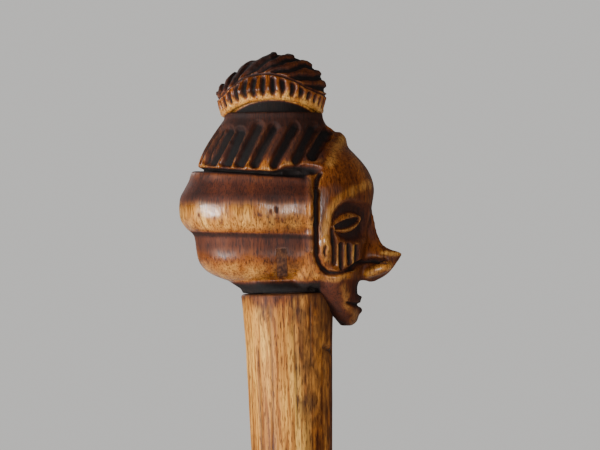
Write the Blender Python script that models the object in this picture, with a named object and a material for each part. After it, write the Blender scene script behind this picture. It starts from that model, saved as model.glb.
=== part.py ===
"""A carved wooden fertility doll: a dressed head, tenoned on a round shaft and locked by a cross peg.

Metres, +Z up. The face looks along -Y, and the origin is the centre of the shaft's foot.
Carving sizes are measured forward of the shaft's axis and above the shaft's shoulder.
"""

import math

import bmesh
import bpy
from mathutils import Matrix, Vector

MM = 0.001

# Fits
SEAT_GAP = 0.3 * MM
BITE = 1.0 * MM

# Shaft
SHAFT_LENGTH = 193 * MM
SHOULDER_RADIUS = 16.6 * MM
SHOULDER_ROUND = 0.8 * MM
WAIST_RADIUS = 14.3 * MM
WAIST_DROP = 85 * MM
FOOT_RADIUS = 14.8 * MM
FOOT_CHAMFER = 1.2 * MM
TENON_RADIUS = 9 * MM
TENON_LENGTH = 27 * MM
TENON_CHAMFER = 1.5 * MM
SHAFT_COLUMNS = 40
SHAFT_RINGS = 12

# Cross peg, a flat key that runs from flank to flank
PEG_WIDTH = 3.6 * MM
PEG_HEIGHT = 10 * MM
PEG_LEVEL = 11.2 * MM
PEG_FORWARD = -1.6 * MM

# Hair rolls: a carver's template of (level, inset) down the back of the head
ROLL_DEPTH = 68 * MM
ROLL_WIDTH = 49 * MM
ROLL_FORWARD = -4 * MM
ROLL_FRONT = 9.8 * MM
ROLL_SQUARENESS = 2.3
ROLL_TEMPLATE_MM = [
    (45.2, 5.2), (44.4, 4.5), (41.5, 3.7), (38.4, 2.0), (35.4, 0.4), (31.5, 0.0), (27.5, 0.4), (24.4, 2.2),
    (22.2, 4.4), (20.4, 5.2), (17.0, 5.7), (13.0, 6.3), (10.4, 7.6), (8.2, 9.8), (6.2, 13.4), (5.0, 17.0),
]
ROLL_SIDE_SHARE = 0.66
ROLL_BULGE_LEVEL = 31.5 * MM
ROLL_COLUMNS = 56
ROLL_RINGS = 24
UNDERSIDE_RINGS = 2
UNDERSIDE_LEVEL = 2.4 * MM
UNDERSIDE_RADIUS = 15.6 * MM
COLLAR_RADIUS = 13.4 * MM
COLLAR_LEVEL = 1.7 * MM
CROWN_SLOPE = 0.092

# Crown tier: a slanted cone of hair with slanting flutes
TIER_BASE_LEVEL = 46.2 * MM
TIER_HEIGHT = 17.6 * MM
TIER_BASE_DEPTH = 52 * MM
TIER_BASE_WIDTH = 42 * MM
TIER_BASE_FORWARD = -4.9 * MM
TIER_TOP_DEPTH = 32 * MM
TIER_TOP_WIDTH = 29 * MM
TIER_TOP_FORWARD = -3 * MM
TIER_UNDERCUT = 2.4 * MM
TIER_LIP = 0.9 * MM
TIER_FLUTES = 26
TIER_FLUTE_DEPTH = 1.8 * MM
TIER_FLUTE_COLUMNS = 4
TIER_RINGS = 8

# Topknot: a domed bun over an arched rim
KNOT_DEPTH = 40 * MM
KNOT_WIDTH = 36 * MM
KNOT_FORWARD = -3.7 * MM
KNOT_NECK_INSET = 5.2 * MM
KNOT_RIM_INSET = 3.2 * MM
KNOT_RIM_LEVEL = 63.6 * MM
KNOT_RIM_ARCH = 5.7 * MM
KNOT_SHOULDER_RISE = 9.2 * MM
KNOT_TOP_LEVEL = 86.9 * MM
KNOT_FLUTES = 34
KNOT_FLUTE_DEPTH = 1.2 * MM
KNOT_FLUTE_COLUMNS = 3
KNOT_RIBS_APART = math.radians(11.5)
KNOT_RIB_DEPTH = 1.3 * MM
KNOT_RIB_BEND = math.radians(0.56)
KNOT_BAND_RINGS = 5
KNOT_DOME_RINGS = 9

# Face: outlines of (level, forward) down the middle and (level, half width) across
FACE_FORWARD = 8 * MM
FACE_DEPTH_BEHIND = 9 * MM
FACE_FRONT_MM = [
    (57.4, 20.6), (55.5, 22.4), (52.0, 23.2), (49.5, 25.4), (46.4, 28.2), (42.7, 30.6), (39.0, 31.9),
    (35.4, 32.2), (31.0, 31.5), (26.0, 30.5), (20.0, 29.6), (8.0, 28.0), (2.0, 26.6),
]
FACE_HALF_WIDTH_MM = [
    (57.4, 3.6), (52.0, 12.0), (46.4, 17.4), (39.0, 20.4), (31.0, 21.2), (20.0, 20.8), (8.0, 18.2), (2.0, 15.6),
]
FACE_COLUMNS = 48
FACE_RINGS = 22

# Jaw: it hangs in front of the shaft and runs to a pointed chin
JAW_FRONT_MM = [(8.0, 27.4), (2.0, 26.4), (-4.0, 26.2), (-8.0, 25.6), (-11.0, 24.6), (-12.4, 22.6)]
JAW_HALF_WIDTH_MM = [(8.0, 17.6), (2.0, 16.0), (-4.0, 12.4), (-8.0, 9.2), (-11.0, 6.0), (-12.4, 3.0)]
JAW_BACK_MM = [(8.0, 3.0), (0.0, 9.0), (-12.4, 18.9)]
JAW_COLUMNS = 32
JAW_RINGS = 12

# Nose: slices of (level, tip forward) and (level, half width) of an upturned beak
NOSE_TIP_MM = [
    (30.5, 31.0), (26.5, 32.0), (22.0, 33.0), (18.5, 34.4), (15.5, 36.4), (13.9, 40.3), (12.4, 41.0),
    (9.8, 39.8), (6.8, 37.2), (4.7, 34.4), (3.2, 31.2),
]
NOSE_HALF_WIDTH_MM = [(30.5, 2.2), (22.0, 3.4), (15.5, 4.8), (9.8, 6.2), (4.7, 5.4), (3.2, 4.0)]
NOSE_ROOT = 23 * MM
NOSE_COLUMNS = 20
NOSE_RINGS = 16
WING_LEVEL = 7.4 * MM
WING_FORWARD = 31 * MM
WING_HALF_SIZES_MM = (3.2, 5.2, 3.2)
WING_SPREAD = 4.2 * MM

# Eyes: an almond in a hollow under the brow, tilted up towards the nose
EYE_FORWARD = 23.4 * MM
EYE_LEVEL = 24.7 * MM
EYE_TILT = math.radians(13)
HOLLOW_HALF_SIZES_MM = (11.4, 5.6, 8.2)
HOLLOW_DEPTH = 3.0 * MM
ALMOND_HALF_SIZES_MM = (8.8, 3.8, 3.6)
ALMOND_SINK = 3.0 * MM
SLIT_HALF_SIZES_MM = (6.2, 1.6, 1.2)
SLIT_RAISE = 0.4 * MM

# Ears, low on the cheek beside the hair
EAR_FORWARD = 14.2 * MM
EAR_LEVEL = 15.2 * MM
EAR_HALF_SIZES_MM = (2.2, 1.6, 5.6)

# Mouth
LIP_FORWARD = 23.6 * MM
UPPER_LIP_LEVEL = -2.6 * MM
LOWER_LIP_LEVEL = -6.6 * MM
LIP_HALF_SIZES_MM = (5.6, 4.4, 2.1)
MOUTH_HALF_SIZES_MM = (6.4, 3.0, 0.8)


def outline(points_mm):
    """A smooth curve through hand-set points, as a function of the first value, both in metres."""
    points = sorted((a * MM, b * MM) for a, b in points_mm)

    def slope(i):
        low, high = points[max(i - 1, 0)], points[min(i + 1, len(points) - 1)]
        return (high[1] - low[1]) / (high[0] - low[0])

    def at(value):
        value = min(max(value, points[0][0]), points[-1][0])
        i = next(k for k in range(len(points) - 1) if value <= points[k + 1][0])
        (a, start), (b, end) = points[i], points[i + 1]
        t = (value - a) / (b - a)
        rise = (b - a) * t * (1 - t)
        straight = start + (end - start) * t * t * (3 - 2 * t)
        return straight + rise * ((1 - t) * slope(i) - t * slope(i + 1))

    return at


def span(first, last, count):
    """Evenly spaced values from first to last."""
    return [first + (last - first) * i / (count - 1) for i in range(count)]


def oval(turn, half_width, half_depth, squareness=2.0):
    """(sideways, forward) on a rounded oval, with turn 0 at its front."""
    across, along = math.sin(turn), math.cos(turn)
    share = 2 / squareness
    return (
        half_width * math.copysign(abs(across) ** share, across),
        half_depth * math.copysign(abs(along) ** share, along),
    )


def carved(sideways, forward, level):
    """A carving measure as a point of the doll."""
    return Vector((sideways, -forward, SHAFT_LENGTH + level))


def add_object(name, bm):
    bmesh.ops.recalc_face_normals(bm, faces=bm.faces)
    mesh = bpy.data.meshes.new(name)
    bm.to_mesh(mesh)
    bm.free()
    obj = bpy.data.objects.new(name, mesh)
    bpy.context.collection.objects.link(obj)
    return obj


def shaped_blank(name, rings, columns, place):
    """A turned blank whose every ring is then shaped: place(ring, turn) gives a point."""
    bm = bmesh.new()
    line = [bm.verts.new((0, -1, ring)) for ring in range(rings)]
    edges = [bm.edges.new(pair) for pair in zip(line, line[1:])]
    bmesh.ops.spin(
        bm, geom=line + edges, cent=(0, 0, 0), axis=(0, 0, 1), angle=math.tau, steps=columns, use_merge=True
    )
    caps = bmesh.ops.holes_fill(bm, edges=[e for e in bm.edges if e.is_boundary], sides=0)["faces"]
    for vert in bm.verts:
        vert.co = place(round(vert.co.z), math.atan2(vert.co.x, -vert.co.y))
    bmesh.ops.poke(bm, faces=caps)
    return add_object(name, bm)


def ellipsoid(name, centre, half_sizes_mm, turn, rings=8, columns=16):
    """A stretched ball, turned by a matrix about its centre."""
    bm = bmesh.new()
    bmesh.ops.create_uvsphere(bm, u_segments=columns, v_segments=rings, radius=1)
    bmesh.ops.scale(bm, vec=Vector(half_sizes_mm) * MM, verts=bm.verts)
    bmesh.ops.transform(bm, matrix=Matrix.Translation(centre) @ turn.to_4x4(), verts=bm.verts)
    return add_object(name, bm)


def combine(target, other, operation):
    """Joins or cuts target by another shape, which is used up."""
    modifier = target.modifiers.new(operation.lower(), "BOOLEAN")
    modifier.solver = "EXACT"
    modifier.operation = operation
    modifier.object = other
    graph = bpy.context.evaluated_depsgraph_get()
    made = bpy.data.meshes.new_from_object(target.evaluated_get(graph))
    target.modifiers.clear()
    target.data = made
    bpy.data.objects.remove(other)


def paint(obj, name, colour, roughness):
    material = bpy.data.materials.new(name)
    material.use_nodes = True
    shader = material.node_tree.nodes["Principled BSDF"]
    shader.inputs["Base Color"].default_value = (*colour, 1)
    shader.inputs["Roughness"].default_value = roughness
    shader.inputs["Metallic"].default_value = 0
    obj.data.materials.clear()
    obj.data.materials.append(material)


def shaft_radius(level):
    """The shaft's radius at a level at or below its shoulder: it swells to the shoulder and to the foot."""
    drop = -level
    if drop < WAIST_DROP:
        return WAIST_RADIUS + (SHOULDER_RADIUS - WAIST_RADIUS) * (1 - drop / WAIST_DROP) ** 2
    below = (drop - WAIST_DROP) / (SHAFT_LENGTH - WAIST_DROP)
    return WAIST_RADIUS + (FOOT_RADIUS - WAIST_RADIUS) * below**2


def turned(name, profile, columns):
    """A solid turned about the shaft's axis from (radius, height) points that start and end on the axis."""
    bm = bmesh.new()
    line = [bm.verts.new((radius, 0, height)) for radius, height in profile]
    edges = [bm.edges.new(pair) for pair in zip(line, line[1:])]
    bmesh.ops.spin(
        bm, geom=line + edges, cent=(0, 0, 0), axis=(0, 0, 1), angle=math.tau, steps=columns, use_merge=True
    )
    bmesh.ops.remove_doubles(bm, verts=bm.verts, dist=0.001 * MM)
    return add_object(name, bm)


def shaft():
    flank = [
        (shaft_radius(level), SHAFT_LENGTH + level)
        for level in span(FOOT_CHAMFER - SHAFT_LENGTH, -SHOULDER_ROUND, SHAFT_RINGS)
    ]
    tenon_top = SHAFT_LENGTH + TENON_LENGTH
    profile = [
        (0, 0),
        (FOOT_RADIUS - FOOT_CHAMFER, 0),
        *flank,
        (SHOULDER_RADIUS - SHOULDER_ROUND, SHAFT_LENGTH),
        (TENON_RADIUS, SHAFT_LENGTH),
        (TENON_RADIUS, tenon_top - TENON_CHAMFER),
        (TENON_RADIUS - TENON_CHAMFER, tenon_top),
        (0, tenon_top),
    ]
    return turned("shaft", profile, SHAFT_COLUMNS)


def shaft_room():
    """The space that the shaft and its tenon need in the head."""
    clear = SHOULDER_RADIUS + SEAT_GAP
    bore = TENON_RADIUS + SEAT_GAP
    low = SHAFT_LENGTH + min(level for level, _ in JAW_FRONT_MM) * MM - BITE
    seat = SHAFT_LENGTH + SEAT_GAP
    top = SHAFT_LENGTH + TENON_LENGTH + SEAT_GAP
    profile = [(0, low), (clear, low), (clear, seat), (bore, seat), (bore, top), (0, top)]
    return turned("shaft_room", profile, SHAFT_COLUMNS)


def peg_bar(name, grown):
    """A bar from flank to flank at the peg's place, grown all round by a clearance."""
    bm = bmesh.new()
    bmesh.ops.create_cube(bm, size=1)
    size = (ROLL_WIDTH + 2 * BITE, PEG_WIDTH + 2 * grown, PEG_HEIGHT + 2 * grown)
    bmesh.ops.scale(bm, vec=size, verts=bm.verts)
    bmesh.ops.translate(bm, vec=carved(0, PEG_FORWARD, PEG_LEVEL), verts=bm.verts)
    return add_object(name, bm)


def hair_rolls():
    """Two stacked rolls of hair round the back of the head, over a collar that seats on the shoulder."""
    inset = outline(ROLL_TEMPLATE_MM)
    top, rim = ROLL_TEMPLATE_MM[0][0] * MM, ROLL_TEMPLATE_MM[-1][0] * MM
    levels = span(top, rim, ROLL_RINGS)
    back = ROLL_DEPTH / 2 - ROLL_FORWARD

    def roll(level, turn):
        half_width = ROLL_WIDTH / 2 - ROLL_SIDE_SHARE * inset(level)
        x, y = oval(turn, half_width, ROLL_DEPTH / 2 - inset(level), ROLL_SQUARENESS)
        return x, y + ROLL_FORWARD

    def place(ring, turn):
        below = ring - ROLL_RINGS + 1
        if below <= 0:
            level = levels[ring]
            x, y = roll(level, turn)
        elif below <= UNDERSIDE_RINGS:
            share = below / UNDERSIDE_RINGS
            level = rim + (UNDERSIDE_LEVEL - rim) * share
            flank, lip = roll(rim, turn), oval(turn, UNDERSIDE_RADIUS, UNDERSIDE_RADIUS)
            x, y = (a + (b - a) * share for a, b in zip(flank, lip))
        else:
            level = COLLAR_LEVEL if below == UNDERSIDE_RINGS + 1 else SEAT_GAP
            x, y = oval(turn, COLLAR_RADIUS, COLLAR_RADIUS)
        lean = CROWN_SLOPE * min(max((level - ROLL_BULGE_LEVEL) / (top - ROLL_BULGE_LEVEL), 0), 1)
        y = min(y, ROLL_FRONT)
        return carved(x, y, level - lean * (y + back))

    return shaped_blank("hair_rolls", ROLL_RINGS + UNDERSIDE_RINGS + 2, ROLL_COLUMNS, place)


def crown_tier():
    """The cone of hair over the rolls, cut with flutes that lean towards the face."""
    shares = [-0.28, -0.02, 0.0, 0.06, *span(0.14, 0.94, TIER_RINGS), 1.0, 1.12]
    back = TIER_BASE_DEPTH / 2 - TIER_BASE_FORWARD

    def place(ring, turn):
        share = shares[ring]
        rise = min(max(share, 0), 1)
        half_width = (TIER_BASE_WIDTH + (TIER_TOP_WIDTH - TIER_BASE_WIDTH) * rise) / 2
        half_depth = (TIER_BASE_DEPTH + (TIER_TOP_DEPTH - TIER_BASE_DEPTH) * rise) / 2
        centre = TIER_BASE_FORWARD + (TIER_TOP_FORWARD - TIER_BASE_FORWARD) * rise
        inset = {0: TIER_UNDERCUT, 1: TIER_UNDERCUT, 2: TIER_LIP}.get(ring, 0)
        flute = 0.5 - 0.5 * math.cos(turn * TIER_FLUTES)
        inset += TIER_FLUTE_DEPTH * flute * math.sin(math.pi * rise) ** 0.5
        lean = 0.24 * rise * math.sin(turn) * abs(math.sin(turn))
        x, y = oval(turn - lean, half_width - inset, half_depth - inset)
        y += centre
        return carved(x, y, TIER_BASE_LEVEL + TIER_HEIGHT * share - CROWN_SLOPE * (y + back))

    return shaped_blank("crown_tier", len(shares), TIER_FLUTES * TIER_FLUTE_COLUMNS, place)


def topknot():
    """The bun: a fluted band over an arched rim, and a dome ribbed like a shell from its back."""
    half_width, half_depth = KNOT_WIDTH / 2, KNOT_DEPTH / 2
    band = span(0, 1, KNOT_BAND_RINGS)
    dome = span(0, math.pi / 2, KNOT_DOME_RINGS)[1:]
    fan = Vector((KNOT_FORWARD - half_depth, KNOT_RIM_LEVEL))
    neck_rings = 2

    def rim_level(turn):
        return KNOT_RIM_LEVEL + KNOT_RIM_ARCH * math.sin(turn) ** 2

    def rib(y, level):
        reach = Vector((y, level)) - fan
        angle = math.atan2(reach.y, reach.x) + KNOT_RIB_BEND * reach.length / MM
        return 0.5 - 0.5 * math.cos(math.tau * angle / KNOT_RIBS_APART)

    def place(ring, turn):
        low, high = rim_level(turn), KNOT_RIM_LEVEL + KNOT_SHOULDER_RISE
        flute = 0.5 - 0.5 * math.cos(turn * KNOT_FLUTES)
        inset, shrink = 0, 1
        if ring < neck_rings:
            inset = KNOT_NECK_INSET
            level = TIER_BASE_LEVEL + TIER_HEIGHT - BITE * 4 if ring == 0 else low + BITE
        elif ring < neck_rings + len(band):
            share = band[ring - neck_rings]
            level = low + (high - low) * share
            inset = KNOT_RIM_INSET * (1 - share) ** 2 + KNOT_FLUTE_DEPTH * flute * math.sin(math.pi * share)
        else:
            angle = dome[ring - neck_rings - len(band)]
            shrink = max(math.cos(angle), 0.02)
            level = high + (KNOT_TOP_LEVEL - high) * math.sin(angle)
        x, y = oval(turn, (half_width - inset) * shrink, (half_depth - inset) * shrink)
        if ring >= neck_rings + len(band):
            depth = KNOT_RIB_DEPTH * rib(y + KNOT_FORWARD, level)
            x, y = x * (1 - depth / half_width), y * (1 - depth / half_depth)
            level -= depth * math.sin(angle)
        return carved(x, y + KNOT_FORWARD, level)

    rings = neck_rings + len(band) + len(dome)
    return shaped_blank("topknot", rings, KNOT_FLUTES * KNOT_FLUTE_COLUMNS, place)


def face_blank():
    """The egg of the face, from the peak of the hairline down to the jaw."""
    front, half_width = outline(FACE_FRONT_MM), outline(FACE_HALF_WIDTH_MM)
    levels = span(FACE_FRONT_MM[0][0] * MM, FACE_FRONT_MM[-1][0] * MM, FACE_RINGS)

    def place(ring, turn):
        level = levels[ring]
        turn += math.pi / FACE_COLUMNS
        forward = math.cos(turn) > 0
        half_depth = front(level) - FACE_FORWARD if forward else FACE_DEPTH_BEHIND
        x, y = oval(turn, half_width(level), half_depth)
        return carved(x, y + FACE_FORWARD, level)

    return shaped_blank("face", FACE_RINGS, FACE_COLUMNS, place)


def jaw():
    """The lower face, which narrows to the chin in front of the shaft."""
    front, half_width, back = outline(JAW_FRONT_MM), outline(JAW_HALF_WIDTH_MM), outline(JAW_BACK_MM)
    levels = span(JAW_FRONT_MM[0][0] * MM, JAW_FRONT_MM[-1][0] * MM, JAW_RINGS)

    def place(ring, turn):
        level = levels[ring]
        middle = (front(level) + back(level)) / 2
        x, y = oval(turn, half_width(level), front(level) - middle)
        return carved(x, y + middle, level)

    return shaped_blank("jaw", JAW_RINGS, JAW_COLUMNS, place)


def nose():
    """An upturned beak: each slice is an ogive from the face to the tip."""
    tip, half_width = outline(NOSE_TIP_MM), outline(NOSE_HALF_WIDTH_MM)
    levels = span(NOSE_TIP_MM[0][0] * MM, NOSE_TIP_MM[-1][0] * MM, NOSE_RINGS)

    def place(ring, turn):
        level = levels[ring]
        x, along = oval(turn, half_width(level), 1)
        reach = tip(level) - NOSE_ROOT
        taper = 1 - 0.72 * max(along, 0) ** 1.5 * min(reach / half_width(level) / 4, 1)
        y = NOSE_ROOT + reach * (max(along, 0) if along > 0 else along * 0.3)
        return carved(x * taper, y, level)

    return shaped_blank("nose", NOSE_RINGS, NOSE_COLUMNS, place)


def cheek_seat(forward, level, side):
    """The point of the face's side at a place, and the turn of its outward direction about Z."""
    half_depth = outline(FACE_FRONT_MM)(level) - FACE_FORWARD
    half_width = outline(FACE_HALF_WIDTH_MM)(level)
    along = (forward - FACE_FORWARD) / half_depth
    across = math.sqrt(1 - along * along)
    outward = Vector((across / half_width, -along / half_depth, 0)).normalized()
    seat = carved(half_width * across, forward, level)
    return Vector((side * seat.x, seat.y, seat.z)), Vector((side * outward.x, outward.y, 0))


def facing(outward, tilt=0.0):
    """A turn that takes +Y outwards and keeps Z up, then tilts about the outward direction."""
    across = outward.cross(Vector((0, 0, 1)))
    frame = Matrix((across, outward, Vector((0, 0, 1)))).transposed()
    return Matrix.Rotation(tilt, 3, outward) @ frame


def add_eye(head, side):
    """A hollow under the brow, and an almond with a slit in it."""
    seat, outward = cheek_seat(EYE_FORWARD, EYE_LEVEL, side)
    turn = facing(outward, -side * EYE_TILT)
    depth = HOLLOW_HALF_SIZES_MM[1] * MM - HOLLOW_DEPTH
    combine(head, ellipsoid("hollow", seat + outward * depth, HOLLOW_HALF_SIZES_MM, turn), "DIFFERENCE")
    combine(head, ellipsoid("almond", seat - outward * ALMOND_SINK, ALMOND_HALF_SIZES_MM, turn), "UNION")
    lid = seat + outward * (ALMOND_HALF_SIZES_MM[1] * MM - ALMOND_SINK) + Vector((0, 0, SLIT_RAISE))
    combine(head, ellipsoid("slit", lid, SLIT_HALF_SIZES_MM, turn, rings=6, columns=12), "DIFFERENCE")


def add_ear(head, side):
    seat, outward = cheek_seat(EAR_FORWARD, EAR_LEVEL, side)
    combine(head, ellipsoid("ear", seat, EAR_HALF_SIZES_MM, facing(outward), rings=6, columns=12), "UNION")


def add_mouth(head):
    """Two lips with a slit between them."""
    level_turn = Matrix.Identity(3)
    for level in (UPPER_LIP_LEVEL, LOWER_LIP_LEVEL):
        lip = ellipsoid("lip", carved(0, LIP_FORWARD, level), LIP_HALF_SIZES_MM, level_turn, rings=6)
        combine(head, lip, "UNION")
    middle = carved(0, LIP_FORWARD + LIP_HALF_SIZES_MM[1] * MM, (UPPER_LIP_LEVEL + LOWER_LIP_LEVEL) / 2)
    combine(head, ellipsoid("mouth", middle, MOUTH_HALF_SIZES_MM, level_turn, rings=6), "DIFFERENCE")


def nostril_wing(side):
    seat = carved(side * WING_SPREAD, WING_FORWARD, WING_LEVEL)
    return ellipsoid("wing", seat, WING_HALF_SIZES_MM, Matrix.Identity(3), rings=6, columns=12)


def carved_head():
    """Everything that is cut from the head's block, without its joints."""
    head = hair_rolls()
    head.name = "head"
    for form in (crown_tier(), topknot(), face_blank(), jaw()):
        combine(head, form, "UNION")
    for side in (-1, 1):
        add_eye(head, side)
    combine(head, nose(), "UNION")
    for side in (-1, 1):
        combine(head, nostril_wing(side), "UNION")
        add_ear(head, side)
    add_mouth(head)
    return head


def main():
    for obj in list(bpy.data.objects):
        bpy.data.objects.remove(obj)
    head = carved_head()
    peg = peg_bar("cross_peg", 0)
    flush = bpy.data.objects.new("flush", head.data.copy())
    bpy.context.collection.objects.link(flush)
    combine(peg, flush, "INTERSECT")
    combine(head, shaft_room(), "DIFFERENCE")
    combine(head, peg_bar("head_mortise", SEAT_GAP), "DIFFERENCE")
    stick = shaft()
    combine(stick, peg_bar("tenon_mortise", SEAT_GAP), "DIFFERENCE")
    paint(head, "carved_hardwood", (0.20, 0.085, 0.028), 0.35)
    paint(stick, "dry_hardwood", (0.47, 0.27, 0.11), 0.55)
    paint(peg, "peg_end_grain", (0.07, 0.035, 0.02), 0.7)
    for obj in (head, stick, peg):
        obj.data.shade_smooth()
        obj.data.set_sharp_from_angle(angle=math.radians(40))


main()
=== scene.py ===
"""The looks of a carved wooden fertility doll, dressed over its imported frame.

Metres, +Z up, face along -Y. Carving measures are millimetres forward of the shaft's axis
and above its shoulder.
"""

import math

import bmesh
import bpy
import numpy as np
from mathutils import Matrix, Vector, noise


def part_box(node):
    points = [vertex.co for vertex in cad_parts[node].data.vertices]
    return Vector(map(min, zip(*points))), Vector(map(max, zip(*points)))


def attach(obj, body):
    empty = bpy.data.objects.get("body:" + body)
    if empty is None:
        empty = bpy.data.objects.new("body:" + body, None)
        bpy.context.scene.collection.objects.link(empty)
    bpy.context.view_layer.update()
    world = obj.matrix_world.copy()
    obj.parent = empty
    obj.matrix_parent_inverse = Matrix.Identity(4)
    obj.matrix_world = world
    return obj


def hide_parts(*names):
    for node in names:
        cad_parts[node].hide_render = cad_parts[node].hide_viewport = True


MM = 0.001

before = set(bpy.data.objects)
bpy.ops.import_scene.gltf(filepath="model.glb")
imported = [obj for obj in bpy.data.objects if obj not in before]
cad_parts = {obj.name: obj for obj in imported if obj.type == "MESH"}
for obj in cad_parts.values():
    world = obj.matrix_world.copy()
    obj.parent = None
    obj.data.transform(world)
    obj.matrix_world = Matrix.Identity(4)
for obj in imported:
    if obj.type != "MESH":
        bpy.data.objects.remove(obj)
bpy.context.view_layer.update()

# Shaft, its tenon and the room that the head leaves for them
TENON_LENGTH = 27 * MM
TENON_RADIUS = 9 * MM
TENON_CHAMFER = 1.5 * MM
SEAT_GAP = 0.3 * MM
SOCKET_COLUMNS = 64
SOCKET_OVERRUN = 4 * MM
PEG_FIT = 0.06 * MM
PEG_OVERRUN = 2 * MM
SHARP_ANGLE = math.radians(60)
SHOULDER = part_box("shaft")[1].z - TENON_LENGTH
SHOULDER_RADIUS = 16.6 * MM
SHOULDER_ROUND = 1.0 * MM
SHOULDER_ROUND_POINTS = 5
WAIST_RADIUS = 14.3 * MM
WAIST_DROP = 85 * MM
FOOT_RADIUS = 14.8 * MM
FOOT_CHAMFER = 1.2 * MM
SHAFT_COLUMNS = 192
SHAFT_RING = 1.0 * MM

# Sculpting resolution, and how many times each skin is eased
HEAD_VOXEL = 0.46 * MM
HEAD_EASING = 6
KNOT_VOXEL = 0.32 * MM
KNOT_EASING = 8
BLANK_COLUMNS = 160

# Hair rolls: the template is (level, inset) down the back of the head
ROLL_HALF_DEPTH = 34.0
ROLL_HALF_WIDTH = 24.5
ROLL_FORWARD = -4.0
ROLL_FRONT = 9.8
ROLL_SQUARENESS = 2.3
ROLL_TEMPLATE = [
    (45.2, 5.2), (44.4, 4.5), (41.5, 3.7), (38.4, 2.0), (35.4, 0.4), (31.5, 0.0), (27.5, 0.4), (24.4, 2.2),
    (22.2, 4.4), (20.4, 5.2), (17.0, 5.7), (13.0, 6.3), (10.4, 7.6), (8.2, 9.8), (6.2, 13.4), (5.0, 17.0),
]
ROLL_SIDE_SHARE = 0.66
ROLL_BULGE = 31.5
UNDERSIDE_LEVEL = 1.9
UNDERSIDE_RADIUS = 16.6
COLLAR_RADIUS = 16.3
COLLAR_LEVEL = 0.5
CROWN_SLOPE = 0.092

# Crown tier: base and top are (half width, half depth, forward)
TIER_BASE_LEVEL = 46.2
TIER_HEIGHT = 17.2
TIER_BASE = (21.0, 26.0, -4.9)
TIER_TOP = (15.2, 17.8, -3.2)
TIER_BELLY = 1.4
TIER_TOP_LEVELLING = 0.75
TIER_ROOT = -0.28
TIER_REACH = 1.40
TIER_UNDERCUT = 2.4
TIER_UNDERCUT_SHARE = 0.05
TIER_LEAN = 0.62
TIER_BACK_CUT_TURNS = (168, 156)
TIER_BACK_ROUNDING = 4
TIER_CUT_WIDTH = 4.5
TIER_CUT_FLAT = 0.24
TIER_CUT_DEPTH = 1.8
TIER_CUT_LEVELS = (2.6, 13.6)
TIER_CUTS = [
    ((-25.8, 47.5), (-19.4, 58.9)), ((-20.7, 46.8), (-15.2, 58.0)), ((-15.6, 46.6), (-8.7, 59.9)),
    ((-10.3, 46.5), (-3.2, 59.0)), ((-3.2, 46.3), (4.3, 59.0)), ((4.8, 47.5), (11.1, 58.8)),
    ((10.4, 49.0), (16.4, 57.8)),
]

# Topknot
KNOT_HALF_WIDTH = 18.0
KNOT_HALF_DEPTH = 20.0
KNOT_FORWARD = -3.7
KNOT_ROOT_LEVEL = TIER_BASE_LEVEL + TIER_HEIGHT - 4
KNOT_NECK_INSET = 5.2
KNOT_RIM_INSET = 3.2
KNOT_LIP_RADIUS = 1.9
KNOT_RIM_LEVEL = 63.6
KNOT_RIM_ARCH = 5.4
KNOT_RIM_CURVE = 1.4
KNOT_BACK_SLOPE = 1.5
KNOT_BACK_BLEND = 0.7
KNOT_SHOULDER = 72.8
KNOT_TOP_LEVEL = 86.9
KNOT_TIP_SHARE = 0.01
KNOT_FLUTES = 34
KNOT_FLUTE_TURN = math.radians(88)
KNOT_FLUTE_RADIUS = KNOT_HALF_WIDTH + 1
KNOT_FLUTE_WIDTH = 2.6
KNOT_FLUTE_DEPTH = 1.1
KNOT_FLUTE_LIFT = 0.3
KNOT_FLUTE_MARGIN = 1.4
KNOT_FLUTE_SHORTEST = 0.4
KNOT_FLUTE_END = 0.8
KNOT_BORDER_WIDTH = 1.3
KNOT_BORDER_DEPTH = 0.7
KNOT_RIBS_FROM = (-24.0, 62.0)
KNOT_RIBS_APART = math.radians(6.4)
KNOT_RIB_BEND = math.radians(0.64)
KNOT_RIB_EDGES = (0.18, 0.38)
KNOT_RIB_DEPTH = 1.0
KNOT_BAND_LINE = [
    (-22.5, 70.5), (-18.5, 74.0), (-13.6, 77.4), (-8.4, 78.5), (-3.0, 78.3), (4.2, 76.0), (9.0, 73.2),
    (15.5, 70.5),
]

# Face, jaw and nose: outlines are (level, forward) and half widths (level, sideways)
FACE_FORWARD = 8.0
FACE_DEPTH_BEHIND = 9.0
FACE_FRONT = [
    (57.4, 20.6), (55.5, 22.4), (52.0, 23.2), (49.5, 25.4), (46.4, 28.2), (42.7, 30.6), (39.0, 31.9),
    (35.4, 32.2), (31.0, 31.5), (26.0, 30.5), (20.0, 29.6), (8.0, 28.0), (2.0, 26.6),
]
FACE_HALF_WIDTH = [
    (57.4, 3.6), (52.0, 12.0), (46.4, 17.4), (39.0, 20.4), (31.0, 21.2), (20.0, 20.8), (8.0, 18.2),
    (2.0, 15.6),
]
JAW_FRONT = [(8.0, 27.4), (2.0, 26.4), (-4.0, 26.2), (-8.0, 25.6), (-11.0, 24.6), (-12.4, 22.6)]
JAW_HALF_WIDTH = [(8.0, 17.6), (2.0, 16.0), (-4.0, 12.4), (-8.0, 9.2), (-11.0, 6.0), (-12.4, 3.0)]
JAW_BACK = [(8.0, 3.0), (0.0, 9.0), (-12.4, 18.9)]
NOSE_TIP = [
    (30.5, 31.0), (26.5, 31.9), (22.0, 32.7), (18.5, 33.8), (16.0, 35.2), (14.4, 38.2), (13.5, 41.2),
    (12.3, 41.5), (9.8, 39.8), (6.8, 37.2), (4.7, 34.4), (3.2, 31.2),
]
NOSE_HALF_WIDTH = [(30.5, 2.2), (22.0, 3.2), (15.5, 4.2), (12.3, 4.6), (9.8, 5.6), (4.7, 5.2), (3.2, 4.0)]
NOSE_ROOT = 23.0
NOSE_TAPER = 0.5
NOSE_TAPER_CURVE = 1.5
NOSE_SLENDERNESS = 4
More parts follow.
